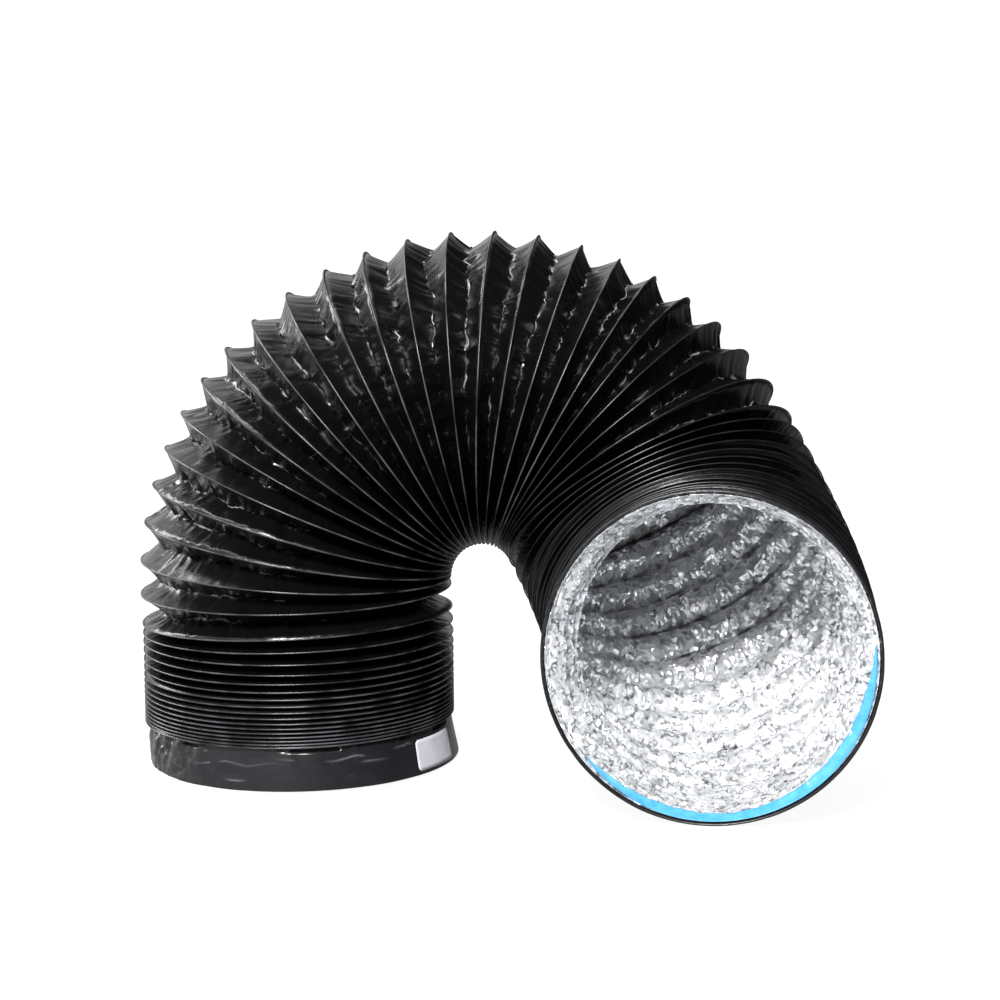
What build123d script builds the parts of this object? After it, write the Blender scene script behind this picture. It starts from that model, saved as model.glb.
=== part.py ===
from build123d import *
from math import radians, sin, cos, sqrt
import os

# A flexible air duct of 200 mm bore: black plastic film outside, aluminium foil inside, and a
# spring-steel wire that winds round between them and makes the ribs. It stands on a smooth
# film cuff, rises as a compressed stack, goes over in an arch and turns to an open mouth that
# faces the front (-Y). The origin is the centre of the cuff's lower edge, on the floor.
# Millimetres and degrees.

# Radii across the duct
CUFF_BORE_R = 100.0  # the duct's bore, which its cuff shares
CREST_RISE = 1.0  # from the bore's radius to the film's outside on a turn of wire
FILM_T = 1.5  # film, measured straight through its folded wall
FOIL_T = 0.6  # foil, measured the same way
LAYER_GAP = 0.3  # between film and foil
WIRE_W = 1.2  # width of the wire's bead along the duct
WIRE_H = 1.2  # height of the bead above the film's crest
WIRE_FIT = 0.05  # under the bead
SEAM = 0.05  # each film or foil ends this far short of the turn that it shares
END_SEAM = 0.2  # from the cuff or the hem to the turn beside it

# Cuff at the lower end
CUFF_T = 0.8
CUFF_LENGTH = 29.3

# Compressed stack on the cuff: its turns open out upwards
STACK_HEIGHT = 67.5
STACK_TURNS = 16
STACK_GROWTH = 1.09  # each turn's pitch over the one below
SLACK_TURNS = 6  # uppermost turns, which stretch first

# The duct's bends above the straight column: the radius of the throat, on the inside of the
# bend, the angle turned, and the side that it leans to, counted round from +X towards +Y. The
# first two shift the duct aside on its stack, and the others make the arch. The elbow then
# turns to the way that the mouth faces.
BENDS = [
    (269.0, 3.7, 150.0),
    (162.0, 3.7, -30.0),
    (26.5, 25.0, 9.0),
    (23.5, 89.0, -5.5),
    (16.0, 40.5, -30.5),
]
ELBOW_THROAT = 42.5
MOUTH_RUN = 22.0  # straight part behind the mouth
MOUTH_TURN = 7.0  # the mouth faces this far round from -Y towards the column

# Turns above the stack: how many, and their pitch. The last ones share what is left.
ARCH_PITCHES = [(1, 17.5), (8, 14.1), (8, 15.9)]
LAST_TURNS = 20
RIGID_TURNS = 3  # turns that move as one, between two pleats
SEGMENTS = 8  # stretches of rigid turns below the mouth's own
FILM_SLACK = 1.25  # film between two turns, over the widest pitch that it spans here
MOUTH_FOLD = 9.5  # depth of the last fold, which faces out of the mouth
MOUTH_GAIN = 4.0  # how much deeper each fold behind it may be

# Mouth
LIP = 6.0  # from the last turn to the edge
HEM_T = 2.5
HEM_FILLET = 0.9
FOIL_HEM_T = 0.4
FOIL_HEM_FIT = 0.3
FOIL_HEM_SETBACK = 1.2  # from the mouth's edge
TAPE_FROM = 220.0  # the tape's ends, counted from the right seen from the front, over the top
TAPE_TO = 366.0
TAPE_GAP = 0.2  # degrees between the tape's ends and the foil hem
TAPE_FIT = 0.2  # from the tape to the last fold that it covers
TAPE_DEPTH = 7.0  # how far down that fold it reaches

# Label on the cuff
LABEL_WIDTH = 43.0
LABEL_HEIGHT = 20.0
LABEL_T = 0.15
LABEL_FIT = 0.05
LABEL_CORNER = 3.0
LABEL_SIDE = 27.0  # its middle, counted round from +X towards -Y
LABEL_LIFT = 3.5  # above the cuff's lower edge

# Radii that follow
CREST_R = CUFF_BORE_R + CREST_RISE
FOIL_R = CREST_R - FILM_T - LAYER_GAP
HEM_BORE_R = CREST_R
HEM_R = HEM_BORE_R + HEM_T


# ---- centre line ----
def straight(start, length):
    """The plane across the duct after a straight run."""
    return Plane(start.origin + start.z_dir * length, x_dir=start.x_dir, z_dir=start.z_dir)


def inward(plane, lean):
    """The direction towards a bend's centre."""
    return plane.x_dir.rotate(Axis((0, 0, 0), plane.z_dir), lean)


def bent(start, length, radius, lean):
    """The plane across the duct after an arc, with its X axis carried along without twist."""
    toward = inward(start, lean)
    hub = start.origin + toward * radius
    axle = Axis(hub, start.z_dir.cross(toward))
    angle = length / radius / radians(1)
    origin = hub + (start.origin - hub).rotate(axle, angle)
    return Plane(origin, x_dir=start.x_dir.rotate(axle, angle), z_dir=start.z_dir.rotate(axle, angle))


def centre_line(column):
    """The runs of the centre line, each as (start plane, length, radius or None, lean)."""
    runs = [(Plane.XY, column, None, 0)]
    here = straight(Plane.XY, column)
    for throat, angle, lean in BENDS:
        radius = CREST_R + throat
        runs.append((here, radius * radians(angle), radius, lean))
        here = bent(*runs[-1])
    facing = Vector(-sin(radians(MOUTH_TURN)), -cos(radians(MOUTH_TURN)), 0)
    aside = facing - here.z_dir * here.z_dir.dot(facing)
    lean = here.x_dir.get_signed_angle(aside, here.z_dir)
    radius = CREST_R + ELBOW_THROAT
    runs.append((here, radius * radians(here.z_dir.get_angle(facing)), radius, lean))
    here = bent(*runs[-1])
    runs.append((here, MOUTH_RUN, None, 0))
    return runs, straight(here, MOUTH_RUN)


# the column is as tall as puts the lowest point of the mouth's hem on the floor
COLUMN = HEM_R - centre_line(0)[1].origin.Z
RUNS, MOUTH = centre_line(COLUMN)
LENGTH = sum(run[1] for run in RUNS)


def run_at(station):
    """The run that a distance along the centre line falls in, and how far into it."""
    for run in RUNS[:-1]:
        if station < run[1]:
            return run, station
        station -= run[1]
    return RUNS[-1], station


def plane_at(station):
    (start, _, radius, lean), along = run_at(station)
    return bent(start, along, radius, lean) if radius else straight(start, along)


def bend_at(station):
    """The direction to the bend's centre, and the bend's curvature."""
    (start, _, radius, lean), _ = run_at(station)
    return inward(plane_at(station), lean), 1 / radius if radius else 0


# ---- turns of the wire, as distances along the centre line ----
STACK_FOOT = CUFF_LENGTH + END_SEAM
FIRST_PITCH = STACK_HEIGHT * (STACK_GROWTH - 1) / (STACK_GROWTH**STACK_TURNS - 1)
TURNS = [
    STACK_FOOT + FIRST_PITCH * (STACK_GROWTH**turn - 1) / (STACK_GROWTH - 1)
    for turn in range(STACK_TURNS + 1)
]
for turns, pitch in ARCH_PITCHES:
    TURNS += [TURNS[-1] + pitch * turn for turn in range(1, turns + 1)]
LAST_PITCH = (LENGTH - LIP - TURNS[-1]) / LAST_TURNS
TURNS += [TURNS[-1] + LAST_PITCH * turn for turn in range(1, LAST_TURNS + 1)]
LAST = len(TURNS) - 1


def pitch_at(turn, side):
    """From a turn to the next one, at the crest outside its bend (side 1) or inside (-1)."""
    _, curvature = bend_at((TURNS[turn] + TURNS[turn + 1]) / 2)
    return (TURNS[turn + 1] - TURNS[turn]) * (1 + side * CREST_R * curvature)


FOLD = FILM_SLACK * max(pitch_at(turn, 1) for turn in range(LAST)) / 2


def fold_depth(turn, side):
    """How far the film falls in between two turns, from its length between them."""
    spread = pitch_at(turn, side) / 2
    return min(sqrt(FOLD**2 - spread**2), MOUTH_FOLD + MOUTH_GAIN * (LAST - 1 - turn))


# ---- folded film and foil ----
def crest(station, radius):
    return Wire.make_circle(radius, plane_at(station))


def valley(turn, radius):
    """The circle at the foot of a fold: deeper on the inside of a bend, where turns are close."""
    middle = (TURNS[turn] + TURNS[turn + 1]) / 2
    plane = plane_at(middle)
    toward, _ = bend_at(middle)
    inside, outside = fold_depth(turn, -1), fold_depth(turn, 1)
    centre = plane.origin - toward * (inside - outside) / 2
    return Wire.make_circle(radius - (inside + outside) / 2, Plane(centre, plane.x_dir, plane.z_dir))


def bellows(first, last, radius):
    """A ruled loft through the crest and valley circles from one turn to another."""
    rings = [crest(TURNS[first] + SEAM, radius)]
    for turn in range(first, last):
        rings.append(valley(turn, radius))
        end = SEAM if turn + 1 == last else 0
        rings.append(crest(TURNS[turn + 1] - end, radius))
    return Solid.make_loft(rings, ruled=True)


def sleeve(first, last, radius, thickness):
    return bellows(first, last, radius) - bellows(first, last, radius - thickness)


def film(first, last):
    return sleeve(first, last, CREST_R, FILM_T)


def foil(first, last):
    return sleeve(first, last, FOIL_R, FOIL_T)


# ---- wire ----
BEAD_R = CREST_R + WIRE_FIT
BEAD = Solid.revolve(
    Face(
        Wire.make_polygon(
            [(BEAD_R, 0, -WIRE_W / 2), (BEAD_R + WIRE_H, 0, 0), (BEAD_R, 0, WIRE_W / 2)], close=True
        )
    ),
    360,
    Axis.Z,
)


def wire(first, last):
    """The turns of wire from one turn to another, both included."""
    return Compound([BEAD.moved(plane_at(TURNS[turn]).location) for turn in range(first, last + 1)])


# ---- bands round an axis ----
def band(inner, outer, length, start=0.0, sweep=360.0):
    """A tube along Z from Z = 0, or an arc of one that starts at an angle from X."""
    section = Face(Wire.make_rect(outer - inner, length, Plane.XZ))
    section = Pos((inner + outer) / 2, 0, length / 2) * section
    return Rot(0, 0, start) * Solid.revolve(section, sweep, Axis.Z)


def end_cuff():
    return band(CUFF_BORE_R, CUFF_BORE_R + CUFF_T, CUFF_LENGTH)


def cuff_label():
    """A bare sticker with rounded corners, curved round the cuff."""
    inner = CUFF_BORE_R + CUFF_T + LABEL_FIT
    sweep = LABEL_WIDTH / inner / radians(1)
    label = band(inner, inner + LABEL_T, LABEL_HEIGHT, -LABEL_SIDE - sweep / 2, sweep)
    corners = label.edges().filter_by(lambda edge: abs(edge.length - LABEL_T) < LABEL_T / 100)
    return Pos(0, 0, LABEL_LIFT) * label.fillet(LABEL_CORNER, corners)


# the mouth's edge, with X level and to the right seen from the front, and Y upwards
MOUTH_EDGE = Plane(MOUTH.origin, x_dir=Vector(0, 0, 1).cross(MOUTH.z_dir), z_dir=MOUTH.z_dir)


def at_mouth(solid, setback):
    """Places a band that ends this far behind the mouth's edge."""
    return MOUTH_EDGE.location * Pos(0, 0, -setback) * solid


def mouth_hem():
    """The film's rolled black edge, in front of the last turn of wire."""
    length = LIP - WIRE_W / 2 - END_SEAM
    hem = band(HEM_BORE_R, HEM_R, length)
    rims = hem.edges().filter_by(GeomType.CIRCLE).sort_by(Axis.Z)[-2:]
    return at_mouth(hem.fillet(HEM_FILLET, rims), length)


LINING_R = HEM_BORE_R - FOIL_HEM_FIT - FOIL_HEM_T
TAPE_STEP = LIP - END_SEAM  # where the tape steps in over the last crest
LINING_LENGTH = TAPE_STEP - FOIL_HEM_T - FOIL_HEM_SETBACK


def foil_hem():
    """The foil's edge, laid against the hem where the tape doesn't cover it."""
    sweep = 360 - (TAPE_TO - TAPE_FROM) - 2 * TAPE_GAP
    hem = band(LINING_R, LINING_R + FOIL_HEM_T, LINING_LENGTH, TAPE_TO + TAPE_GAP, sweep)
    return at_mouth(hem, FOIL_HEM_SETBACK + LINING_LENGTH)


def tape_strip():
    """Tape along the hem, which steps over the last crest and runs down the last fold."""
    crest_r = FOIL_R - FOIL_T - TAPE_FIT
    deep = TAPE_STEP + TAPE_DEPTH * (LAST_PITCH / 2 - SEAM) / MOUTH_FOLD
    profile = [
        (LINING_R + FOIL_HEM_T, -FOIL_HEM_SETBACK),
        (LINING_R + FOIL_HEM_T, -TAPE_STEP),
        (crest_r, -TAPE_STEP),
        (crest_r - TAPE_DEPTH, -deep),
        (crest_r - TAPE_DEPTH - FOIL_HEM_T, -deep),
        (crest_r - FOIL_HEM_T, -TAPE_STEP + FOIL_HEM_T),
        (LINING_R, -TAPE_STEP + FOIL_HEM_T),
        (LINING_R, -FOIL_HEM_SETBACK),
    ]
    section = Face(Wire.make_polygon([(r, 0, z) for r, z in profile], close=True))
    return at_mouth(Rot(0, 0, TAPE_FROM) * Solid.revolve(section, TAPE_TO - TAPE_FROM, Axis.Z), 0)


# ---- every node ----
parts = {"end_cuff": end_cuff(), "cuff_label": cuff_label()}

stack_top = STACK_TURNS - SLACK_TURNS
parts["stack_film"] = film(0, stack_top)
parts["stack_wire"] = wire(0, stack_top)
parts["stack_foil"] = foil(0, stack_top)
parts["slack_film"] = film(stack_top, STACK_TURNS)
parts["slack_wire"] = wire(stack_top + 1, STACK_TURNS - 1)
parts["slack_foil"] = foil(stack_top, STACK_TURNS)

PLEATS = []
for segment in range(SEGMENTS):
    name = f"arch_{segment}" if segment else "neck"
    foot = STACK_TURNS + segment * (RIGID_TURNS + 1)
    head = foot + RIGID_TURNS
    parts[f"{name}_film"] = film(foot, head)
    parts[f"{name}_wire"] = wire(foot, head)
    parts[f"{name}_foil"] = foil(foot, head)
    parts[f"pleat_{segment + 1}_film"] = film(head, head + 1)
    parts[f"pleat_{segment + 1}_foil"] = foil(head, head + 1)
    PLEATS.append((TURNS[head] + TURNS[head + 1]) / 2)

mouth_foot = STACK_TURNS + SEGMENTS * (RIGID_TURNS + 1)
parts["mouth_film"] = film(mouth_foot, LAST)
parts["mouth_wire"] = wire(mouth_foot, LAST)
parts["mouth_foil"] = foil(mouth_foot, LAST)
parts["mouth_hem"] = mouth_hem()
parts["foil_hem"] = foil_hem()
parts["tape_strip"] = tape_strip()

os.makedirs("parts", exist_ok=True)
for node, solid in parts.items():
    export_step(solid, f"parts/{node}.step")

# Each pleat folds about a line across the tight side of its bend, just outside the wire.
print(f"centre line {LENGTH:.2f} column {COLUMN:.2f} pitch {LAST_PITCH:.3f} fold {FOLD:.2f}")
print(f"mouth edge {tuple(MOUTH_EDGE.origin)} faces {tuple(MOUTH_EDGE.z_dir)}")
for number, station in enumerate(PLEATS, 1):
    across, (toward, _) = plane_at(station), bend_at(station)
    hinge = across.origin + toward * (BEAD_R + WIRE_H)
    print(f"fold_{number} at {tuple(hinge)} about {tuple(across.z_dir.cross(toward))}")
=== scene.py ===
import math

import bmesh
import bpy
import numpy as np
from mathutils import Matrix, Vector, noise


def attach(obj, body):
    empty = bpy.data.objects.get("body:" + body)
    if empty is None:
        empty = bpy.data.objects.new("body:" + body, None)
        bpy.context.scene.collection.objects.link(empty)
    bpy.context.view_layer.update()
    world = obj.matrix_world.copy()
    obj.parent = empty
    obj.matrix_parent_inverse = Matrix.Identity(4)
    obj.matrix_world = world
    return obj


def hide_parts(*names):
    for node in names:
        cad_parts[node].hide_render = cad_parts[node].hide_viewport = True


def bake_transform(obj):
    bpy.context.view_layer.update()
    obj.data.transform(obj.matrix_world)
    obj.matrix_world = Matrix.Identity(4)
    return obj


# A flexible air duct of 200 mm bore, in metres: black plastic film outside, aluminium foil
# inside, and a spring-steel wire that winds round between them and makes the ribs. It stands
# on its film cuff, goes over in an arch and ends in an open mouth that faces the front (-Y).
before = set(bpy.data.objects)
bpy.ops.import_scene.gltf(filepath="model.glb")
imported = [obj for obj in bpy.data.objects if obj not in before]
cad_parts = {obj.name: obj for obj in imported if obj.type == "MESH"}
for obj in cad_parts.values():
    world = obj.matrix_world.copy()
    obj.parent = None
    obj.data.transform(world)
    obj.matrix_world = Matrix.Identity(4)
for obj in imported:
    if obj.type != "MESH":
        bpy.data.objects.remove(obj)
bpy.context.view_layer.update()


# ---- End cuff ----
# The smooth lower end of the black film, doubled, which a clamp draws onto a spigot. It is
# soft: its edge splays a little towards the mouth, its front left is crumpled from handling,
# and short creases run round it below the first turns.
CUFF_R, CUFF_LENGTH, CUFF_WALL = 0.1008, 0.0293, 0.0008
CUFF_LIFT = 0.0012  # the cut edge isn't straight, and rises towards the mouth
CUFF_TUCK = 0.0003  # its top ends this far under the first turn
SPLAY, SPLAY_TO_MOUTH = 0.0022, 0.0029  # the cut edge spreads, and most towards the mouth
CUFF_PROUD, CUFF_TAPER = 0.0003, 0.0006
STACK_TILT = math.tan(math.radians(0.9))  # the turns above rise towards the mouth too
CRUMPLED_SIDE, CRUMPLED_WIDTH = math.radians(208), math.radians(26)
CRUMPLES = ((0.0085, 0.023), (0.0035, 0.009))  # rise and width, of the large and the small ones
WAVE_RISE, WAVE_WIDTH = 0.0006, 0.024  # on the rest of the cuff
CREASE_HEIGHTS = (0.0215, 0.0165, 0.0095)
# Creases round the front: how far they rise, how wide they are, and how strong a painted highlight
# they carry.
CREASE_RISE, CREASE_HALF_WIDTH, CREASE_HIGHLIGHT = 0.0004, 0.0005, 0.25
PUCKER_RISE = 0.0007  # where the cuff is gathered to the first turn
SLIT_DEPTH, SLITS_FROM, SLITS_OVER = 0.0035, 0.86, 0.06  # gaps between cuff and first turn
LABEL_WIDTH, LABEL_HEIGHT, LABEL_CORNER = 0.043, 0.020, 0.003
LABEL_SIDE, LABEL_LIFT = math.radians(-27), 0.0045
LABEL_MARGIN = 0.006  # the cuff is smooth under the label, and creased from this far beside it


def round_duct(columns):
    """Angles of this many columns of points, evenly round the duct."""
    return np.linspace(0, 2 * math.pi, columns, endpoint=False)


def sheet_round(name, places, crease_highlight=None):
    """A sheet wrapped round and closed on itself, through these rows of points. The optional rows
    of crease highlight say how much painted highlight each point carries along its creases."""
    columns = len(places[0])
    sheet = bmesh.new()
    sheet.loops.layers.uv.new("OFBake")
    layer = sheet.verts.layers.float.new("crease_highlight")
    bmesh.ops.create_grid(
        sheet, x_segments=columns, y_segments=len(places) - 1, size=1, calc_uvs=True
    )
    wrapped = np.stack([np.vstack([row, row[:1]]) for row in places]).reshape(-1, 3)
    for vertex, place in zip(sheet.verts, wrapped):
        vertex.co = place
    if crease_highlight is not None:
        highlights = np.stack([np.append(row, row[0]) for row in crease_highlight]).reshape(-1)
        for vertex, highlight in zip(sheet.verts, highlights):
            vertex[layer] = highlight
    bmesh.ops.remove_doubles(sheet, verts=sheet.verts, dist=1e-7)
    bmesh.ops.recalc_face_normals(sheet, faces=sheet.faces)
    return finished(name, sheet)


def finished(name, sheet):
    """The object of a finished bmesh, at the origin and shaded smooth."""
    mesh = bpy.data.meshes.new(name)
    sheet.to_mesh(mesh)
    sheet.free()
    piece = bpy.data.objects.new(name, mesh)
    bpy.context.scene.collection.objects.link(piece)
    for polygon in mesh.polygons:
        polygon.use_smooth = True
    return piece


def walled(piece, thickness, offset=-1.0):
    """Gives a sheet its thickness: inwards, or to both sides with an offset of 0."""
    wall = piece.modifiers.new("wall", "SOLIDIFY")
    wall.thickness, wall.offset = thickness, offset


def zigzag(chance, knots, angles, amount):
    """A random broken line round the duct, closed on itself, at these angles. It has this many
    corners: 140 is one for every 4.5 mm."""
    places = np.sort(chance.uniform(0, 2 * math.pi, knots))
    return np.interp(angles, places, chance.uniform(-amount, amount, knots), period=2 * math.pi)


MEAN_FACET = 0.35


def facet(spot, size):
    """Height of crumpled sheet at a point: flat facets of this size that meet in creases."""
    near = noise.voronoi(spot / size, distance_metric="CHEBYCHEV")[0]
    return (near[1] - near[0]) - MEAN_FACET


def cuff_span(angle):
    """Height of the cuff's cut edge, and of its top under the first turn."""
    low = CUFF_LIFT * (1 + np.cos(angle))
    return low, CUFF_LENGTH + STACK_TILT * CUFF_R * np.cos(angle) - CUFF_TUCK


def cuff_radius(angle, share):
    """Radius of the cuff without its wrinkles, this share of the way up from its edge."""
    splay = (SPLAY + SPLAY_TO_MOUTH * np.cos(angle)) * (1 - share) + CUFF_PROUD
    return CUFF_R + splay - CUFF_TAPER * share


def cuff_rows(angles, rows):
    """Each row of points up the cuff, and how much painted highlight its creases carry there."""
    chance = np.random.default_rng(7)
    crumpled = np.exp(-(((angles - CRUMPLED_SIDE) / CRUMPLED_WIDTH) ** 2))
    front = np.clip(-np.sin(angles), 0, 1)
    beside = np.abs((angles - LABEL_SIDE + math.pi) % (2 * math.pi) - math.pi) * CUFF_R
    loose = np.clip((beside - LABEL_WIDTH / 2) / LABEL_MARGIN, 0, 1)
    creases = [
        (
            height + zigzag(chance, 90, angles, 0.0012) + zigzag(chance, 20, angles, 0.0028),
            np.clip(zigzag(chance, 52, angles, 1.9) - 0.4, 0, 1),
        )
        for height in CREASE_HEIGHTS
    ]
    slits = np.clip(zigzag(chance, 40, angles, 1.6) + 0.2, 0, 1) * np.clip(1.5 * front, 0, 1)
    puckers = zigzag(chance, 110, angles, PUCKER_RISE)
    low, top = cuff_span(angles)
    for row in range(rows + 1):
        share = row / rows
        height = low + (top - low) * share
        rise = highlight = 0 * angles
        # Along the front the creases rise and carry a painted highlight.
        for line, strength in creases:
            crease = strength * front * np.exp(-(((height - line) / CREASE_HALF_WIDTH) ** 2))
            rise, highlight = rise + CREASE_RISE * crease, highlight + CREASE_HIGHLIGHT * crease
        rise = rise + puckers * share**3 * (0.4 + front)
        for index, angle in enumerate(angles):
            spot = Vector((CUFF_R * math.cos(angle), CUFF_R * math.sin(angle), height[index]))
            crumple = sum(high * facet(spot, wide) for high, wide in CRUMPLES)
            wave = WAVE_RISE * facet(spot, WAVE_WIDTH)
            rise[index] += wave + crumpled[index] * (0.25 + 0.75 * share) * crumple
        out = cuff_radius(angles, share) + rise * loose
        out = out - SLIT_DEPTH * slits * np.clip((share - SLITS_FROM) / SLITS_OVER, 0, 1)
        yield np.column_stack([out * np.cos(angles), out * np.sin(angles), height]), highlight * loose


def colour(hex_value):
    """Linear colour of an sRGB hex value."""
    channels = [int(hex_value[at : at + 2], 16) / 255 for at in (1, 3, 5)]
    linear = [c / 12.92 if c <= 0.04045 else ((c + 0.055) / 1.055) ** 2.4 for c in channels]
    return (*linear, 1.0)


def add_node(tree, kind, links=None, values=None, **settings):
    """Adds a node: settings by the name of a socket or attribute, values by a socket's number,
    and links into its sockets."""
    node = tree.nodes.new(kind)
    for key, value in settings.items():
        socket = node.inputs.get(key.replace("_", " "))
        if socket is None:
            setattr(node, key, value)
        else:
            socket.default_value = value
    for key, value in (values or {}).items():
        node.inputs[key].default_value = value
    for key, source in (links or {}).items():
        tree.links.new(source, node.inputs[key])
    return node


def material(name):
    """A new material, with its node tree and its shader."""
    made = bpy.data.materials.new(name)
    made.use_nodes = True
    return made, made.node_tree, made.node_tree.nodes["Principled BSDF"]


def set_sockets(shader, **values):
    for key, value in values.items():
        shader.inputs[key.replace("_", " ")].default_value = value


def feed(tree, shader, **sources):
    """Links these outputs into the shader's sockets."""
    for key, source in sources.items():
        tree.links.new(source, shader.inputs[key.replace("_", " ")])


DARK, LIGHT = 6, 7  # the two colour sockets of a Mix node


def black_film(name, unevenness, plain):
    """Blown polyethylene film: near black with a sharp gloss and soft wrinkles 9 mm apart, with a
    painted highlight in light grey along the lines where it has been creased."""
    made, tree, shader = material(name)
    set_sockets(shader, IOR=1.5, Specular_IOR_Level=0.4)
    where = add_node(tree, "ShaderNodeTexCoord").outputs["Object"]
    wrinkles = add_node(
        tree,
        "ShaderNodeTexNoise",
        {"Vector": where},
        Scale=110.0,  # 9 mm
        Detail=2.0,
        Roughness=0.45,
        Distortion=0.8,
    )
    # A painted highlight in light grey along the creases, as strong as the vertex attribute says.
    highlighted = add_node(tree, "ShaderNodeAttribute", attribute_name="crease_highlight").outputs["Fac"]
    tone = add_node(
        tree,
        "ShaderNodeMix",
        {"Factor": highlighted},
        {DARK: colour(plain), LIGHT: colour("#a9abb0")},
        data_type="RGBA",
    )
    bump = add_node(
        tree,
        "ShaderNodeBump",
        {"Height": wrinkles.outputs["Fac"]},
        Strength=unevenness,
        Distance=0.0012,
    )
    gloss = add_node(
        tree,
        "ShaderNodeMapRange",
        {"Value": wrinkles.outputs["Fac"]},
        To_Min=0.19,
        To_Max=0.34,
    )
    feed(
        tree,
        shader,
        Base_Color=tone.outputs[2],
        Roughness=gloss.outputs["Result"],
        Normal=bump.outputs["Normal"],
    )
    return made


# Pressed smooth, as on the cuff, the film looks greyer.
smooth_film = black_film("smooth_black_film", 0.12, "#1a1a1d")
cuff_places, cuff_highlights = zip(*cuff_rows(round_duct(420), 54))
cuff = sheet_round("cuff", cuff_places, cuff_highlights)
cuff.data.materials.append(smooth_film)
walled(cuff, CUFF_WALL)
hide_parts("end_cuff")
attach(cuff, "base")


# ---- Label ----
# A bare sticker of white vinyl, punched with rounded corners. It sticks to the outside of the
# cuff beside the front, and was smoothed onto it by hand.
LABEL_RAISED, LABEL_WALL = 0.0003, 0.00012
LABEL_STRIPS, LABEL_BANDS = 22, 8


def label_vinyl():
    """Vinyl for print, left blank: a cool off-white, half matt, and a little uneven every 8 mm
    from the hand that pressed it."""
    made, tree, shader = material("white_label_vinyl")
    set_sockets(shader, IOR=1.5)
    where = add_node(tree, "ShaderNodeTexCoord").outputs["Object"]
    press = add_node(tree, "ShaderNodeTexNoise", {"Vector": where}, Scale=120.0, Detail=2.0)
    tone = add_node(
        tree,
        "ShaderNodeMix",
        {"Factor": press.outputs["Fac"]},
        {DARK: colour("#b9b7c0"), LIGHT: colour("#d2d0d8")},
        data_type="RGBA",
    )
    gloss = add_node(
        tree, "ShaderNodeMapRange", {"Value": press.outputs["Fac"]}, To_Min=0.35, To_Max=0.5
    )
    bump = add_node(
        tree, "ShaderNodeBump", {"Height": press.outputs["Fac"]}, Strength=0.25, Distance=0.0004
    )
    feed(
        tree,
        shader,
        Base_Color=tone.outputs[2],
        Roughness=gloss.outputs["Result"],
        Normal=bump.outputs["Normal"],
    )
    return made


def rounded_label():
    """A flat quad with rounded corners, cut into strips and wrapped onto the splayed cuff."""
    flat = bmesh.new()
    bmesh.ops.create_grid(flat, x_segments=1, y_segments=1, size=0.5)
    bmesh.ops.scale(flat, vec=(LABEL_WIDTH, LABEL_HEIGHT, 1), verts=flat.verts)
    bmesh.ops.bevel(
        flat,
        geom=flat.verts[:],
        offset=LABEL_CORNER,
        affect="VERTICES",
        segments=6,
        profile=0.5,
        material=-1,
    )
    for count, size, across in (
        (LABEL_STRIPS, LABEL_WIDTH, (1, 0, 0)),
        (LABEL_BANDS, LABEL_HEIGHT, (0, 1, 0)),
    ):
        for cut in range(1, count):
            place = [size * (cut / count - 0.5) * axis for axis in across]
            everything = flat.verts[:] + flat.edges[:] + flat.faces[:]
            bmesh.ops.bisect_plane(flat, geom=everything, plane_co=place, plane_no=across)
    for vertex in flat.verts:
        angle = LABEL_SIDE + vertex.co.x / CUFF_R
        height = LABEL_LIFT + LABEL_HEIGHT / 2 + vertex.co.y
        low, top = cuff_span(angle)
        out = cuff_radius(angle, (height - low) / (top - low)) + LABEL_RAISED
        vertex.co = (out * math.cos(angle), out * math.sin(angle), height)
    bmesh.ops.recalc_face_normals(flat, faces=flat.faces)
    for face in flat.faces:
        if face.normal.dot(face.calc_center_median()) < 0:
            face.normal_flip()
    return flat


label = finished("blank_label", rounded_label())
label.data.materials.append(label_vinyl())
walled(label, LABEL_WALL)
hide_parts("cuff_label")
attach(label, "base")


# ---- Black film sleeve ----
# The duct's outer sleeve: soft black film about 0.1 mm thick, wrapped over the wire and glued
# to the foil. Nothing holds it between two turns, so it falls inwards in a fold of fixed
# length, pinched into a broken crease along its foot and puckered up to the wire.

# The centre line: a short column, bends given by the radius of their throat, the angle turned
# and the side that they lean to, and an elbow that turns to where the mouth faces.
CREST_R = 0.101
BENDS = [
    (0.269, 3.7, 150.0),
    (0.162, 3.7, -30.0),
    (0.0265, 25.0, 9.0),
    (0.0235, 89.0, -5.5),
    (0.016, 40.5, -30.5),
]
ELBOW_THROAT = 0.0425
MOUTH_RUN = 0.022
MOUTH_FACES = math.radians(7.0)  # from -Y towards the column
HEM_R = 0.1035


def straight(plane, length):
    """The plane across the duct after a straight run."""
    origin, across, along = plane
    return origin + along * length, across, along


def bent(plane, length, radius, lean):
    """The plane across the duct after an arc that leans this many degrees round from its X."""
    origin, across, along = plane
    toward = Matrix.Rotation(math.radians(lean), 3, along) @ across
    hub = origin + toward * radius
    turn = Matrix.Rotation(length / radius, 3, along.cross(toward))
    return hub + turn @ (origin - hub), turn @ across, turn @ along


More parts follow.
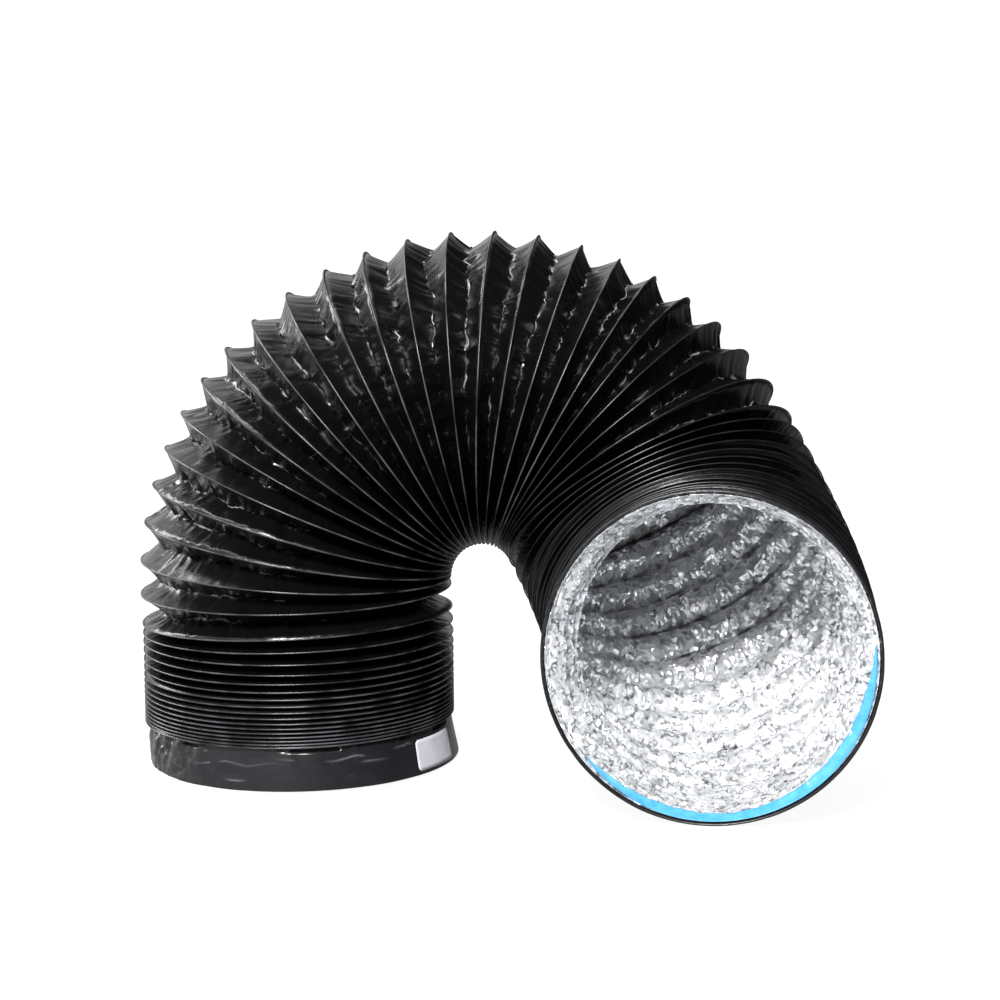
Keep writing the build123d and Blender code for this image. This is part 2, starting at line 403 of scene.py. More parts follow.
def centre_line(column):
    """The runs of the centre line over a column of this height, and the plane of the mouth."""
    start = (Vector(), Vector((1, 0, 0)), Vector((0, 0, 1)))
    runs = [(start, column, None, 0.0)]
    here = straight(start, column)
    for throat, angle, lean in BENDS:
        radius = CREST_R + throat
        runs.append((here, radius * math.radians(angle), radius, lean))
        here = bent(*runs[-1])
    _, across, along = here
    facing = Vector((-math.sin(MOUTH_FACES), -math.cos(MOUTH_FACES), 0))
    aside = facing - along * along.dot(facing)
    lean = math.degrees(math.atan2(along.cross(across).dot(aside), across.dot(aside)))
    radius = CREST_R + ELBOW_THROAT
    runs.append((here, radius * along.angle(facing), radius, lean))
    here = bent(*runs[-1])
    runs.append((here, MOUTH_RUN, None, 0.0))
    return runs, straight(here, MOUTH_RUN)


COLUMN = HEM_R - centre_line(0)[1][0].z  # so the hem rests on the floor
RUNS, MOUTH = centre_line(COLUMN)
LENGTH = sum(run[1] for run in RUNS)


def run_at(station):
    """The run that this distance along the centre line falls in, and how far into it."""
    for run in RUNS[:-1]:
        if station < run[1]:
            return run, station
        station -= run[1]
    return RUNS[-1], station


def plane_at(station):
    """Centre, X axis and tangent of the section across the duct."""
    (start, _, radius, lean), along = run_at(station)
    return bent(start, along, radius, lean) if radius else straight(start, along)


# Turns of the wire, as distances along the centre line: a stack that opens out upwards, one
# turn that gapes, two stretches of even pitch, and the rest down to the mouth.
STACK_FOOT, STACK_HEIGHT, STACK_TURNS, STACK_GROWTH = 0.0295, 0.0675, 16, 1.09
FIRST_PITCH = STACK_HEIGHT * (STACK_GROWTH - 1) / (STACK_GROWTH**STACK_TURNS - 1)
TURNS = [
    STACK_FOOT + FIRST_PITCH * (STACK_GROWTH**turn - 1) / (STACK_GROWTH - 1)
    for turn in range(STACK_TURNS + 1)
]
for turns, pitch in [(1, 0.0175), (8, 0.0141), (8, 0.0159)]:
    TURNS += [TURNS[-1] + pitch * turn for turn in range(1, turns + 1)]
LIP, LAST_TURNS = 0.006, 20
LAST_PITCH = (LENGTH - LIP - TURNS[-1]) / LAST_TURNS
TURNS += [TURNS[-1] + LAST_PITCH * turn for turn in range(1, LAST_TURNS + 1)]
LAST = len(TURNS) - 1


def pitch_at(turn, side):
    """Pitch above a turn, at the crest outside its bend (side 1), inside it (-1) or between."""
    (_, _, radius, _), _ = run_at((TURNS[turn] + TURNS[turn + 1]) / 2)
    return (TURNS[turn + 1] - TURNS[turn]) * (1 + side * CREST_R * (1 / radius if radius else 0))


SLACK = 1.25  # the film between two turns is longer than the widest gap that it spans
FOLD = SLACK * max(pitch_at(turn, 1) for turn in range(LAST)) / 2
MOUTH_FOLD, MOUTH_GAIN = 0.0095, 0.004
PRESSED_FOLD, PRESSED_GAIN = 0.0008, 0.0012  # the lowest turns press their film flat


def fold_depth(turn, side):
    """How far the film hangs in: half its length and half the pitch are two sides of a right
    angle, except where it is pressed."""
    spread = pitch_at(turn, side) / 2
    near_mouth = MOUTH_FOLD + MOUTH_GAIN * (LAST - 1 - turn)
    return min(math.sqrt(FOLD**2 - spread**2), near_mouth, PRESSED_FOLD + PRESSED_GAIN * turn)


# Behind the mouth the film is drawn flat: how much of its fold goes, and over how many turns.
FLAT_ABOVE, FLAT_BELOW = 0.58, 0.84
TURNS_ABOVE, TURNS_BELOW = 9, 12


def eased(turn, angles):
    """Share of a fold's depth that is left where the film is drawn flat behind the mouth, most
    along its top and its bottom."""
    before = LAST - 1 - turn
    top = math.atan2(MOUTH[2].cross(MOUTH[1]).z, MOUTH[1].z)
    upright = np.cos(angles - top)
    flat = np.where(upright > 0, FLAT_ABOVE, FLAT_BELOW) * np.abs(upright) ** 1.5
    fade = np.where(upright > 0, 1 - before / TURNS_ABOVE, 1.15 - before / TURNS_BELOW)
    return 1 - flat * np.clip(fade, 0, 1)


# Each stretch of turns rides on its own CAD body. The six slack turns and the pleats between
# stretches are what opens and closes; they span from one body to the next and are not attached to
# either.
SLACK_TURNS, RIGID_TURNS = 6, 3
SLACK_FOOT = STACK_TURNS - SLACK_TURNS
CHAIN = ["neck"] + [f"arch_{number}" for number in range(1, 8)] + ["mouth"]


def stretches():
    """Every stretch: name, first and last turn, and the body it rides on or the two bodies it
    spans.
    """
    yield "stack", 0, SLACK_FOOT, ("base",)
    yield "slack", SLACK_FOOT, STACK_TURNS, ("base", "neck")
    for index, body in enumerate(CHAIN):
        foot = STACK_TURNS + index * (RIGID_TURNS + 1)
        head = LAST if body == "mouth" else foot + RIGID_TURNS
        yield body, foot, head, (body,)
        if body != "mouth":
            yield f"pleat_{index + 1}", head, head + 1, (body, CHAIN[index + 1])


PLEAT_SPREAD = 2.2  # a pleat is this much wider outside the bend than in the middle


def follow(piece, first, last, bodies):
    """Rides on one body; between two, it is only baked where it stands."""
    if len(bodies) == 1:
        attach(piece, bodies[0])
        return
    low, high = plane_at(TURNS[first])[0], plane_at(TURNS[last])[0]
    if last == first + 1:
        middle, half = (low + high) / 2, (high - low) / 2 * PLEAT_SPREAD
        low, high = middle - half, middle + half
    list(bodies)
    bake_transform(piece)
    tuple(low)
    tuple(high)


SPRUNG_OUT, HELD_AT_MOUTH, SPRINGS_OVER = 0.013, 0.02, 0.08
LEAN_ENDS_OVER = 0.03  # below the first open turn


def swollen(station):
    """The wire springs out a little all along the duct, except near the hem, which holds it."""
    held = (LENGTH - HELD_AT_MOUTH - station) / SPRINGS_OVER
    return 1 + SPRUNG_OUT * min(max(held, 0.0), 1.0)


def lean_at(station):
    """How much the pressed turns rise towards the mouth at a station."""
    return STACK_TILT * min(max((TURNS[STACK_TURNS] - station) / LEAN_ENDS_OVER, 0.0), 1.0)


def section_at(station, out, angles, shift=0.0):
    """Points round the duct at a station: this far out, and shifted along the duct."""
    origin, across, along = plane_at(station)
    upward = along.cross(across)
    out = out * swollen(station)
    points = (
        np.array(origin)
        + np.outer(out * np.cos(angles), across)
        + np.outer(out * np.sin(angles), upward)
        + np.outer(shift + np.zeros(len(angles)), along)
    )
    points[:, 2] += lean_at(station) * points[:, 0]
    return points


ROOMY = 0.014  # where turns are closer than this, creases have no room to stand out
OPENS_FROM, OPENS_OVER = 0.008, 0.016  # the spacing at which a fold begins to gape
SLEEVE_SEED = 100  # film, foil and tape share it, so that they crease together


class Fold:
    """The shape of one fold round the duct, between a turn and the next."""

    def __init__(self, turn, angles):
        self.turn, self.angles = turn, angles
        self.pitch = TURNS[turn + 1] - TURNS[turn]
        (_, _, bend_radius, lean), _ = run_at(TURNS[turn] + self.pitch / 2)
        curvature = 1 / bend_radius if bend_radius else 0.0
        swing = np.cos(angles - math.radians(lean)) if bend_radius else 0 * angles
        inner, outer = fold_depth(turn, -1), fold_depth(turn, 1)
        self.depth = (inner + outer) / 2 + swing * (inner - outer) / 2
        self.depth = self.depth * eased(turn, angles)
        self.spacing = self.pitch * (1 - CREST_R * curvature * swing)
        self.room = np.minimum(self.spacing / ROOMY, 1.0)
        gaping = np.clip((self.spacing - OPENS_FROM) / OPENS_OVER, 0, 1)
        chance = np.random.default_rng(SLEEVE_SEED + turn)
        # The foot of the fold wanders to and fro, as a share of the spacing, and in and out.
        self.crease = zigzag(chance, 140, angles, 0.055) + zigzag(chance, 26, angles, 0.1)
        self.foot = zigzag(chance, 80, angles, 0.0014) * self.room
        # Puckers run from it up to the wire on both sides, and some of it is pinched together.
        self.puckers = [
            (zigzag(chance, 190, angles, 0.0016) + zigzag(chance, 70, angles, 0.0006))
            * self.room
            * (0.45 + 0.55 * gaping)
            for _ in range(2)
        ]
        self.pinch = np.clip(zigzag(chance, 70, angles, 1.4), -0.2, 0.8) * self.room
        # The film is painted with a highlight along the foot of the fold, where it is creased
        # hardest, and across it.
        broken = np.clip(zigzag(chance, 56, angles, 2.2) + 0.5, 0, 1)
        self.crease_highlight = broken * np.clip(zigzag(chance, 170, angles, 1.2) + 0.6, 0.1, 1) * gaping
        self.crossed = np.clip(zigzag(chance, 170, angles, 4.0) - 3.0, 0, 1) * gaping

    def radius(self, crest, down, roundness):
        """Radius of the sheet this far down into the fold, from 0 at its crest to 1."""
        return crest - self.depth * (1 - (1 - down) ** roundness) + self.foot * down**2


def looseness(down):
    """How freely the sheet puckers: held at the wire, and less so at the foot of the fold."""
    return down**0.6 * (1 - 0.3 * down)


def fold_row(fold, share, crest, roundness, crumple, size, pinched=0.0):
    """One row of points over a fold, this share of the way up to the next turn."""
    down = 1 - abs(2 * share - 1)
    side = 1 if share < 0.5 else -1
    loose = looseness(down)
    out = fold.radius(crest, down, roundness)
    if share == 0.5:
        out = out + pinched * fold.pinch
    shift = fold.crease * fold.spacing * down + side * fold.puckers[share < 0.5] * loose
    station = TURNS[fold.turn] + fold.pitch * share
    points = section_at(station, out, fold.angles, shift)
    if share > 0:
        along = np.array(plane_at(station)[2])
        for index, point in enumerate(points):
            rise = crumple * loose * fold.room[index] * facet(Vector(point), size)
            point += along * rise * side
    return points


# Rows stand closer about the foot, where the film is pinched.
FILM_ROWS = [0, 0.11, 0.22, 0.32, 0.4, 0.46, 0.486, 0.5, 0.514, 0.54, 0.6, 0.68, 0.78, 0.89]
STACK_ROWS = [0, 0.17, 0.33, 0.5, 0.67, 0.83]
FILM_COLUMNS, STACK_COLUMNS = 448, 400
FILM_WALL, FILM_ROUND, FILM_PINCH = 0.00035, 1.25, 0.0016
FILM_CRUMPLE, FILM_CRUMPLE_WIDTH = 0.0006, 0.012
# The painted highlight also runs across the foot: this strong where puckers cross it, and over this
# share of the fold either side.
HIGHLIGHT_UP_PUCKERS, HIGHLIGHT_REACH = 0.6, 0.1


def film_sleeve(name, first, last, columns, shares):
    """The film from one turn to another, as one sheet."""
    angles = round_duct(columns)
    places, crease_highlight = [], []
    for turn in range(first, last):
        fold = Fold(turn, angles)
        for share in shares:
            places.append(
                fold_row(
                    fold, share, CREST_R, FILM_ROUND, FILM_CRUMPLE, FILM_CRUMPLE_WIDTH, FILM_PINCH
                )
            )
            beside = max(0.0, 1 - abs(share - 0.5) / HIGHLIGHT_REACH)
            crease_highlight.append(fold.crease_highlight * (share == 0.5) + HIGHLIGHT_UP_PUCKERS * fold.crossed * beside)
    places.append(section_at(TURNS[last], CREST_R, angles))
    crease_highlight.append(0 * angles)
    return sheet_round(name, places, [np.clip(row, 0, 1) for row in crease_highlight])


film = black_film("blown_black_film", 0.27, "#060607")
for stretch, first, last, bodies in stretches():
    pressed = stretch in ("stack", "slack")
    columns, shares = (STACK_COLUMNS, STACK_ROWS) if pressed else (FILM_COLUMNS, FILM_ROWS)
    piece = film_sleeve(f"film_{stretch}", first, last, columns, shares)
    piece.data.materials.append(smooth_film if stretch == "stack" else film)
    piece.data.set_sharp_from_angle(angle=math.radians(36))
    walled(piece, FILM_WALL)
    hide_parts(f"{stretch}_film")
    follow(piece, first, last, bodies)


# ---- Wire ----
# Spring-steel wire of 1 mm, sealed under the film. What shows is a fine bead along each rib,
# where the film is drawn tight over it.
BEAD = 0.00052
BEAD_SIDES, BEAD_STEPS = 6, 180


def bead_ring():
    """One turn of the bead about Z, made once and copied to every rib."""
    ring = bmesh.new()
    made = bmesh.ops.create_circle(ring, segments=BEAD_SIDES, radius=BEAD)
    upright = Matrix.Translation((CREST_R + BEAD, 0, 0)) @ Matrix.Rotation(math.pi / 2, 4, "X")
    bmesh.ops.transform(ring, matrix=upright, verts=made["verts"])
    bmesh.ops.spin(
        ring,
        geom=ring.edges[:],
        cent=(0, 0, 0),
        axis=(0, 0, 1),
        angle=2 * math.pi,
        steps=BEAD_STEPS,
        use_merge=True,
    )
    bmesh.ops.remove_doubles(ring, verts=ring.verts, dist=1e-7)
    bmesh.ops.recalc_face_normals(ring, faces=ring.faces)
    mesh = bpy.data.meshes.new("bead")
    ring.to_mesh(mesh)
    ring.free()
    return mesh


def across_duct(station):
    """The matrix that puts Z = 0 across the duct at a station."""
    origin, across, along = plane_at(station)
    turned = Matrix((across, along.cross(across), along)).transposed().to_4x4()
    leaning = Matrix.Identity(4)
    leaning[2][0] = lean_at(station)
    return leaning @ Matrix.Translation(origin) @ turned @ Matrix.Scale(swollen(station), 4)


def beads(name, ring, turns):
    """The beads of these turns, as one piece."""
    rings = bmesh.new()
    for turn in turns:
        before = len(rings.verts)
        rings.from_mesh(ring)
        rings.verts.ensure_lookup_table()
        fresh = rings.verts[before:]
        bmesh.ops.transform(rings, matrix=across_duct(TURNS[turn]), verts=fresh)
    return finished(name, rings)


def bead_film(name, dull, highlight_colour):
    """The same film drawn tight over the wire: near black with an even gloss, and painted grey in
    streaks of a few centimetres as highlights along the rib."""
    made, tree, shader = material(name)
    set_sockets(shader, Roughness=0.3, IOR=1.5)
    where = add_node(tree, "ShaderNodeTexCoord").outputs["Object"]
    # a painted highlight streak every 18 mm
    streaks = add_node(tree, "ShaderNodeTexNoise", {"Vector": where}, Scale=55.0, Detail=3.0)
    streak_highlight = add_node(
        tree, "ShaderNodeMapRange", {"Value": streaks.outputs["Fac"]}, From_Min=0.36, From_Max=0.66
    )
    tone = add_node(
        tree,
        "ShaderNodeMix",
        {"Factor": streak_highlight.outputs["Result"]},
        {DARK: colour(dull), LIGHT: colour(highlight_colour)},
        data_type="RGBA",
    )
    feed(tree, shader, Base_Color=tone.outputs[2])
    return made


# Where the turns are closed, the beads are painted darker, with dimmer highlight streaks: painted
# shade.
lit_bead = bead_film("film_over_wire_painted_highlight", "#0c0c0d", "#46474a")
shaded_bead = bead_film("film_over_wire_painted_shade", "#030303", "#1b1b1d")
SHADED_RUN = ("arch_5", "arch_6", "arch_7", "mouth")
ring = bead_ring()
for stretch, first, last, bodies in stretches():
    if stretch.startswith("pleat"):
        continue
    if stretch != "slack":
        piece = beads(f"wire_{stretch}", ring, range(first, last + 1))
        piece.data.materials.append(shaded_bead if stretch in SHADED_RUN else lit_bead)
        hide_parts(f"{stretch}_wire")
        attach(piece, bodies[0])
        continue
    low, high = plane_at(TURNS[first])[0], plane_at(TURNS[last])[0]
    for turn in range(first + 1, last):
        piece = beads(f"wire_slack_{turn - first}", ring, [turn])
        piece.data.materials.append(lit_bead)
        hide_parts("slack_wire")
        # Each slack bead is baked where it stands and rides on neither body.
        place = across_duct(TURNS[turn])
        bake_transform(piece)
bpy.data.meshes.remove(ring)


# ---- Foil lining ----
# Aluminium foil bonded to the film, so it makes the same folds. It keeps every crease, and
# crumples into small flat facets.
FOIL_R, FOIL_WALL, FOIL_ROUND = 0.0992, 0.00015, 1.8
FOIL_CRUMPLE, FOIL_CRUMPLE_WIDTH, FOIL_JITTER = 0.0030, 0.0085, 0.00045
FOIL_ROWS = [0, 0.08, 0.17, 0.26, 0.34, 0.42, 0.5, 0.58, 0.66, 0.74, 0.83, 0.92]
FOIL_STACK_ROWS = [0, 0.25, 0.5, 0.75]
FOIL_COLUMNS, FOIL_STACK_COLUMNS = 320, 200
FOIL_SHARP = math.radians(6)  # facets meet in creases from this angle on
FACETS = ((110.0, 0.72), (290.0, 0.5))  # per metre, so 9 and 3.4 mm wide, and how far they tilt


def crumpled_foil():
    """Soft aluminium foil, crumpled: bright metal broken into facets of 3 to 10 mm, each tilted its
    own way, with painted shade in short dark strokes along the sharpest of the fine creases. The
    clear film that it is laminated with takes some of the metal's mirror away."""
    made, tree, shader = material("crumpled_aluminium_foil")
    set_sockets(shader, Metallic=0.62)
    where = add_node(tree, "ShaderNodeTexCoord").outputs["Object"]
    # The facets are pushed out of their even shapes by a few millimetres, every 12 mm or so.
    drift = add_node(tree, "ShaderNodeTexNoise", {"Vector": where}, Scale=80.0, Detail=1.0)
    pushed = add_node(
        tree,
        "ShaderNodeVectorMath",
        {0: drift.outputs["Color"], 2: where},
        {1: (0.007, 0.007, 0.007)},
        operation="MULTIPLY_ADD",
    )
    tilt = add_node(tree, "ShaderNodeNewGeometry").outputs["Normal"]
    for scale, amount in FACETS:
        cells = add_node(
            tree, "ShaderNodeTexVoronoi", {"Vector": pushed.outputs[0]}, Scale=scale
        )
        aside = add_node(
            tree,
            "ShaderNodeVectorMath",
            {0: cells.outputs["Color"]},
            {1: (0.5, 0.5, 0.5)},
            operation="SUBTRACT",
        )
        tilted = add_node(
            tree,
            "ShaderNodeVectorMath",
            {0: aside.outputs[0], 2: tilt},
            {1: (amount, amount, amount)},
            operation="MULTIPLY_ADD",
        )
        tilt = tilted.outputs[0]
    facets = add_node(tree, "ShaderNodeVectorMath", {0: tilt}, operation="NORMALIZE")
    # Painted shade: dark strokes along the edges of the fine facets, broken off every 4 mm or so.
    edges = add_node(
        tree,
        "ShaderNodeTexVoronoi",
        {"Vector": pushed.outputs[0]},
        Scale=FACETS[-1][0],
        feature="DISTANCE_TO_EDGE",
    )
    line = add_node(tree, "ShaderNodeMapRange", {"Value": edges.outputs["Distance"]}, From_Max=0.17)
    patches = add_node(tree, "ShaderNodeTexNoise", {"Vector": where}, Scale=260.0, Detail=1.0)
    unbroken = add_node(
        tree, "ShaderNodeMapRange", {"Value": patches.outputs["Fac"]}, From_Min=0.43, From_Max=0.49
    )
    crease_shade = add_node(
        tree,
        "ShaderNodeMath",
        {0: line.outputs["Result"], 1: unbroken.outputs["Result"]},
        operation="MAXIMUM",
    )
    tone = add_node(
        tree,
        "ShaderNodeMix",
        {"Factor": crease_shade.outputs[0]},
        {DARK: colour("#45484d"), LIGHT: colour("#fbfcfe")},
        data_type="RGBA",
    )
    gloss = add_node(
        tree, "ShaderNodeMapRange", {"Value": crease_shade.outputs[0]}, To_Min=0.42, To_Max=0.21
    )
    feed(
        tree,
        shader,
        Base_Color=tone.outputs[2],
        Roughness=gloss.outputs["Result"],
        Normal=facets.outputs[0],
    )
    return made


def foil_rows(turn, angles, shares):
    """Rows of the foil over one fold, with each point pushed about so that facets show."""
    fold = Fold(turn, angles)
    chance = np.random.default_rng(500 + turn)
    for share in shares[1:]:
        row = fold_row(fold, share, FOIL_R, FOIL_ROUND, FOIL_CRUMPLE, FOIL_CRUMPLE_WIDTH)
        yield row + chance.uniform(-FOIL_JITTER, FOIL_JITTER, row.shape) * fold.room[:, None]


def foil_crest(turn, angles):
    """The row under a turn of the wire, the same for the pieces on both sides of it."""
    chance = np.random.default_rng(900 + turn)
    loose = FOIL_JITTER if turn > STACK_TURNS else 0.0
    return section_at(TURNS[turn], FOIL_R - chance.uniform(0, 2 * loose, len(angles)), angles)


def foil_lining(name, first, last, columns, shares):
    """The foil from one turn to another, as one sheet."""
    angles = round_duct(columns)
    places = []
    for turn in range(first, last):
        places.append(foil_crest(turn, angles))
        places.extend(foil_rows(turn, angles, shares))
    places.append(foil_crest(last, angles))
    return sheet_round(name, places)


foil = crumpled_foil()
for stretch, first, last, bodies in stretches():
    columns, shares = FOIL_COLUMNS, FOIL_ROWS
    if stretch in ("stack", "slack"):
        columns, shares = FOIL_STACK_COLUMNS, FOIL_STACK_ROWS
    piece = foil_lining(f"foil_{stretch}", first, last, columns, shares)
    piece.data.materials.append(foil)
    piece.data.set_sharp_from_angle(angle=FOIL_SHARP)
    walled(piece, FOIL_WALL)
    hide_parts(f"{stretch}_foil")
    follow(piece, first, last, bodies)


# ---- Foil edge at the mouth ----
# The foil's cut edge, left over past the last turn of the wire. It is pressed flat against the
# inside of the hem, which it stops a little short of.
EDGE_R, EDGE_SETBACK, EDGE_JITTER = 0.1006, 0.0012, 0.0004
edge_angles = round_duct(FOIL_COLUMNS)
edge_chance = np.random.default_rng(31)
edge_places = [foil_crest(LAST, edge_angles)]
for share in (0.25, 0.5, 0.75, 1.0):
    station = TURNS[LAST] + (LIP - EDGE_SETBACK) * share
    push = edge_chance.uniform(-EDGE_JITTER, EDGE_JITTER, (2, FOIL_COLUMNS)) * (share < 1)
    out = FOIL_R + (EDGE_R - FOIL_R) * min(share * 2, 1) + push[0]
    edge_places.append(section_at(station, out, edge_angles, push[1]))
foil_edge = sheet_round("foil_edge", edge_places)
foil_edge.data.materials.append(foil)
foil_edge.data.set_sharp_from_angle(angle=FOIL_SHARP)
walled(foil_edge, FOIL_WALL)
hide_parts("foil_hem")
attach(foil_edge, "mouth")


# ---- Hem ----
# The film's own edge, rolled over outwards in front of the last turn and heat-sealed: a soft
# black lip a little wider than the ribs.
HEM_BORE_R, HEM_DEPTH = 0.1012, 0.0050
HEM_COLUMNS, HEM_ROWS, HEM_WANDER = 360, 14, 0.00018


def rolled_hem():
    """A flattened roll round the mouth, whose inner edge wanders a little."""
    angles = round_duct(HEM_COLUMNS)
    chance = np.random.default_rng(17)
    wander = zigzag(chance, 40, angles, HEM_WANDER)
    middle_r, half = (HEM_BORE_R + HEM_R) / 2, (HEM_R - HEM_BORE_R) / 2
    places = []
    for row in range(HEM_ROWS + 1):
        turned = 2 * math.pi * row / HEM_ROWS
        out = middle_r + half * math.cos(turned)
        back = HEM_DEPTH / 2 * (1 - math.sin(turned))
        places.append(section_at(LENGTH - back, out + wander * (math.cos(turned) > -0.5), angles))
    return sheet_round("rolled_hem", places)


hem = rolled_hem()
hem.data.materials.append(smooth_film)
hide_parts("mouth_hem")
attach(hem, "mouth")


# ---- Tape ----
# Light blue film tape that holds the foil's edge to the hem. It was torn off by hand and
# pressed down over the last fold, so its inner edge is ragged and its ends thin out.
TAPE_FROM, TAPE_TO = math.radians(220), math.radians(366)  # round the mouth, seen from in front
TAPE_WIDEST = math.radians(318)
TAPE_DOWN = 0.24  # how much of the last fold it covers
TAPE_RAISED, TAPE_WALL = 0.0004, 0.00012
TAPE_COLUMNS, TAPE_STEPS, TAPE_ROUND = 260, 5, 1.7
OVER_FOLD, OVER_CREST, OVER_EDGE = 0.0006, 0.0007, 0.0004  # how far it stands off the foil


def blue_tape():
    """Polyester tape: a clear light blue with a soft gloss, paler where it lifts, in patches
    6 mm apart."""
    made, tree, shader = material("blue_film_tape")
    set_sockets(shader, IOR=1.48)
    where = add_node(tree, "ShaderNodeTexCoord").outputs["Object"]
    patches = add_node(tree, "ShaderNodeTexNoise", {"Vector": where}, Scale=160.0, Detail=5.0)
    tone = add_node(
        tree,
        "ShaderNodeMix",
        {"Factor": patches.outputs["Fac"]},
        {DARK: colour("#1f80c0"), LIGHT: colour("#66b0da")},
        data_type="RGBA",
    )
    bump = add_node(
        tree, "ShaderNodeBump", {"Height": patches.outputs["Fac"]}, Strength=0.3, Distance=0.0006
    )
    gloss = add_node(
        tree, "ShaderNodeMapRange", {"Value": patches.outputs["Fac"]}, To_Min=0.3, To_Max=0.5
    )
    feed(
        tree,
        shader,
        Base_Color=tone.outputs[2],
        Roughness=gloss.outputs["Result"],
        Normal=bump.outputs["Normal"],
    )
    return made


def tape_angle(seen):
    """An angle round the mouth as seen from the front, turned to the centre line's own."""
    _, across, along = MOUTH
    right = Vector((0, 0, 1)).cross(along)
    upward = along.cross(right)
    way = right * math.cos(seen) + upward * math.sin(seen)
    return math.atan2(way.dot(along.cross(across)), way.dot(across))


def tape_sheet():
    """Follows the foil over the last fold, from the hem down to a torn edge."""
    seen = np.linspace(TAPE_FROM, TAPE_TO, TAPE_COLUMNS)
    angles = np.array([tape_angle(way) for way in seen]) % (2 * math.pi)
    chance = np.random.default_rng(23)
    around = seen % (2 * math.pi)
    torn = 1 + zigzag(chance, 190, around, 0.2) + zigzag(chance, 36, around, 0.18)
    torn = torn + 0.3 * np.cos(seen - TAPE_WIDEST)
    ends = np.clip(np.minimum((seen - TAPE_FROM) / 0.6, (TAPE_TO - seen) / 0.9), 0.02, 1) ** 0.6
    reach = TAPE_DOWN * torn * ends
    fold = Fold(LAST - 1, angles)
    rows = []
    for step in range(TAPE_STEPS, 0, -1):
        share = 1 - reach * step / TAPE_STEPS
        down = 1 - np.abs(2 * share - 1)
        out = fold.radius(FOIL_R, down, TAPE_ROUND) - OVER_FOLD
        puckers = fold.puckers[0] * looseness(down) * 0.5
        shift = fold.crease * fold.spacing * down - puckers + TAPE_RAISED
        rows.append(section_at(TURNS[LAST - 1], out, angles, shift + fold.pitch * share))
    crest = FOIL_R - OVER_CREST
    rows.append(section_at(TURNS[LAST], crest, angles, TAPE_RAISED))
    lip = LIP - EDGE_SETBACK + 0.0002
    for part, edge in ((0.55, EDGE_R - OVER_FOLD), (1.0, EDGE_R - OVER_EDGE)):
        out = crest + (edge - crest) * ends
        rows.append(section_at(TURNS[LAST], out, angles, lip * part * ends + TAPE_RAISED))
    strip = bmesh.new()
    strip.loops.layers.uv.new("OFBake")
    bmesh.ops.create_grid(
        strip, x_segments=TAPE_COLUMNS - 1, y_segments=len(rows) - 1, size=1, calc_uvs=True
    )
    for vertex, place in zip(strip.verts, np.concatenate(rows)):
        vertex.co = place
    bmesh.ops.recalc_face_normals(strip, faces=strip.faces)
    return strip


tape = finished("blue_tape", tape_sheet())
tape.data.materials.append(blue_tape())
walled(tape, TAPE_WALL, 0.0)
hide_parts("tape_strip")
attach(tape, "mouth")


# ---- Stage ----
# A white light table under plain soft light: a box light above and a strip behind, both on
# the left, and a key light in front and above. The right side is left dark.
def soft_box(name, place, aim, width, height, power):
    """A rectangular area light of this power in watts, turned to where it aims."""
    light = bpy.data.lights.new(name, "AREA")
    light.shape, light.size, light.size_y, light.energy = "RECTANGLE", width, height, power
    lamp = bpy.data.objects.new(name, light)
    bpy.context.scene.collection.objects.link(lamp)
    turned = (Vector(aim) - Vector(place)).to_track_quat("-Z", "Y").to_matrix().to_4x4()
    lamp.matrix_world = Matrix.Translation(place) @ turned


MIDDLE = (0.13, 0.0, 0.17)
soft_box("overhead", (-0.45, 0.1, 1.65), MIDDLE, 0.8, 0.6, 12.0)
soft_box("left_rear", (-1.3, 0.7, 0.9), MIDDLE, 0.4, 1.4, 24.0)
soft_box("key", (-0.3, -2.2, 1.9), MIDDLE, 0.7, 0.7, 168.0)

floor_sheet = bmesh.new()
bmesh.ops.create_grid(floor_sheet, x_segments=1, y_segments=1, size=12)
floor = finished("floor", floor_sheet)
table, table_tree, table_shader = material("lit_white_table")
set_sockets(table_shader, Base_Color=colour("#585858"), Roughness=0.9, Emission_Color=(1, 1, 1, 1))
spot = add_node(table_tree, "ShaderNodeTexCoord").outputs["Object"]
centred = add_node(table_tree, "ShaderNodeMapping", {"Vector": spot}, Location=(-0.13, 0.05, 0))
away = add_node(table_tree, "ShaderNodeVectorMath", {0: centred.outputs[0]}, operation="LENGTH")
glow = add_node(
    table_tree,
    "ShaderNodeMapRange",
    {"Value": away.outputs["Value"]},
    From_Min=0.1,
    From_Max=0.75,
    To_Min=0.93,
    To_Max=1.02,
)
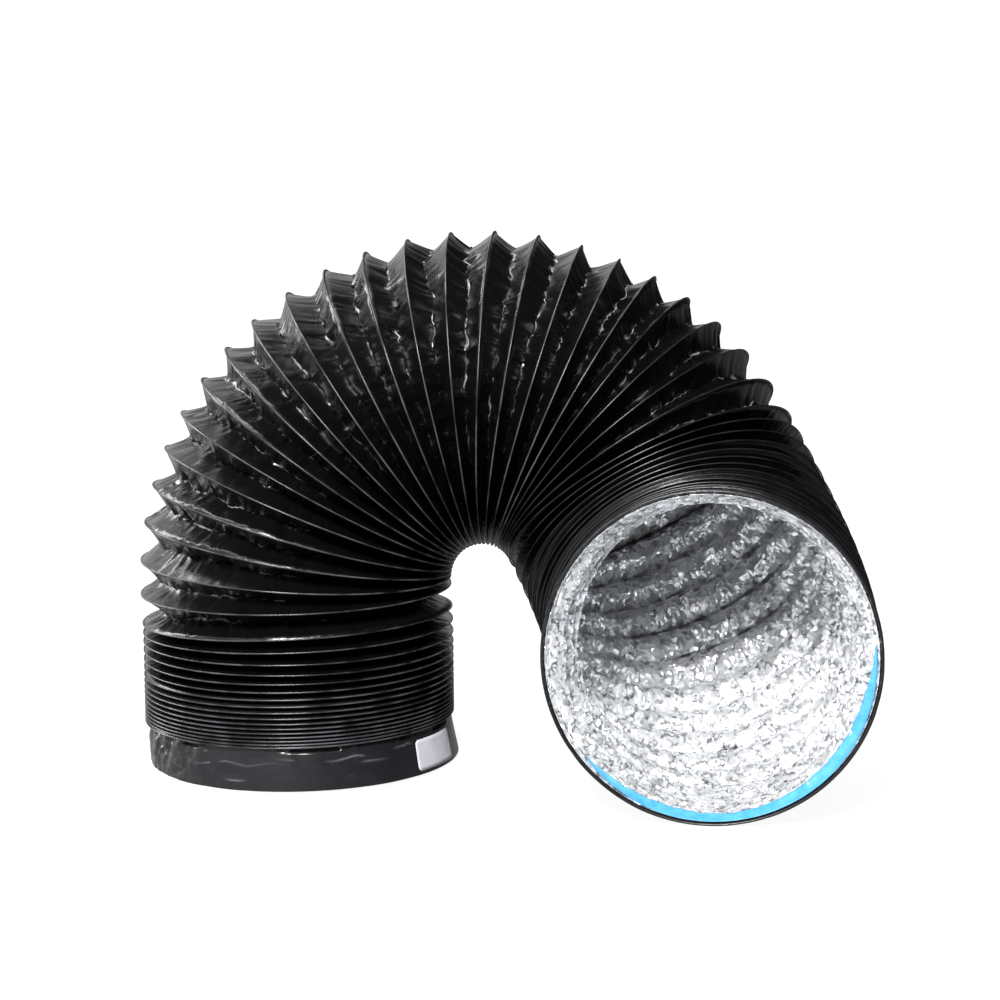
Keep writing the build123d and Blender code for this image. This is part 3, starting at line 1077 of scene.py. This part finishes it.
# In the duct's gloss the table is bright on the left and dark on the right, as the room is.
aside = add_node(table_tree, "ShaderNodeSeparateXYZ", {"Vector": spot}).outputs["X"]
dimmed = add_node(
    table_tree,
    "ShaderNodeMapRange",
    {"Value": aside},
    From_Min=-0.5,
    From_Max=0.35,
    To_Min=0.6,
    To_Max=0.02,
)
shown = add_node(table_tree, "ShaderNodeLightPath").outputs["Is Camera Ray"]
lit = add_node(
    table_tree,
    "ShaderNodeMix",
    {"Factor": shown, "A": dimmed.outputs["Result"], "B": glow.outputs["Result"]},
    data_type="FLOAT",
)
feed(table_tree, table_shader, Emission_Strength=lit.outputs["Result"])
floor.data.materials.append(table)

world = bpy.data.worlds.new("studio")
bpy.context.scene.world = world
world.use_nodes = True
room_tree = world.node_tree
sky = room_tree.nodes["Background"]
set_sockets(sky, Color=(1, 1, 1, 1))
# The room is bright on the left and dark on the right; what shows of it is plain white.
facing = add_node(room_tree, "ShaderNodeTexCoord").outputs["Generated"]
leftward = add_node(
    room_tree,
    "ShaderNodeVectorMath",
    {0: facing},
    {1: (-1.0, 0.05, 0.1)},
    operation="DOT_PRODUCT",
)
room = add_node(
    room_tree,
    "ShaderNodeMapRange",
    {"Value": leftward.outputs["Value"]},
    From_Min=-0.25,
    From_Max=0.2,
    To_Min=0.035,
    To_Max=0.95,
)
shown = add_node(room_tree, "ShaderNodeLightPath").outputs["Is Camera Ray"]
backdrop = add_node(
    room_tree,
    "ShaderNodeMix",
    {"Factor": shown, "A": room.outputs["Result"]},
    data_type="FLOAT",
    B=1.02,
)
feed(room_tree, sky, Strength=backdrop.outputs["Result"])

bpy.context.scene.view_settings.view_transform = "Standard"


# ---- Camera ----
# A long lens of about 100 mm, 1.8 m off and a little above the arch. It is square to the front
# and hardly rolled.
def place_camera():
    """Aims the camera at its target from in front: risen this far, and rolled."""
    data = bpy.data.cameras.new("camera")
    data.lens, data.sensor_width = 99.19, 36.0
    data.clip_end = 30.0
    camera = bpy.data.objects.new("camera", data)
    bpy.context.scene.collection.objects.link(camera)
    target, distance = Vector((0.1348, 0.0, 0.17215)), 1.827
    rise, roll = math.radians(8.9), math.radians(-0.31)
    back = Vector((0, -math.cos(rise), math.sin(rise)))
    level, up = Vector((1, 0, 0)), Vector((0, math.sin(rise), math.cos(rise)))
    right = level * math.cos(roll) + up * math.sin(roll)
    turned = Matrix((right, back.cross(right), back)).transposed().to_4x4()
    camera.matrix_world = Matrix.Translation(target + back * distance) @ turned
    bpy.context.scene.camera = camera


place_camera()
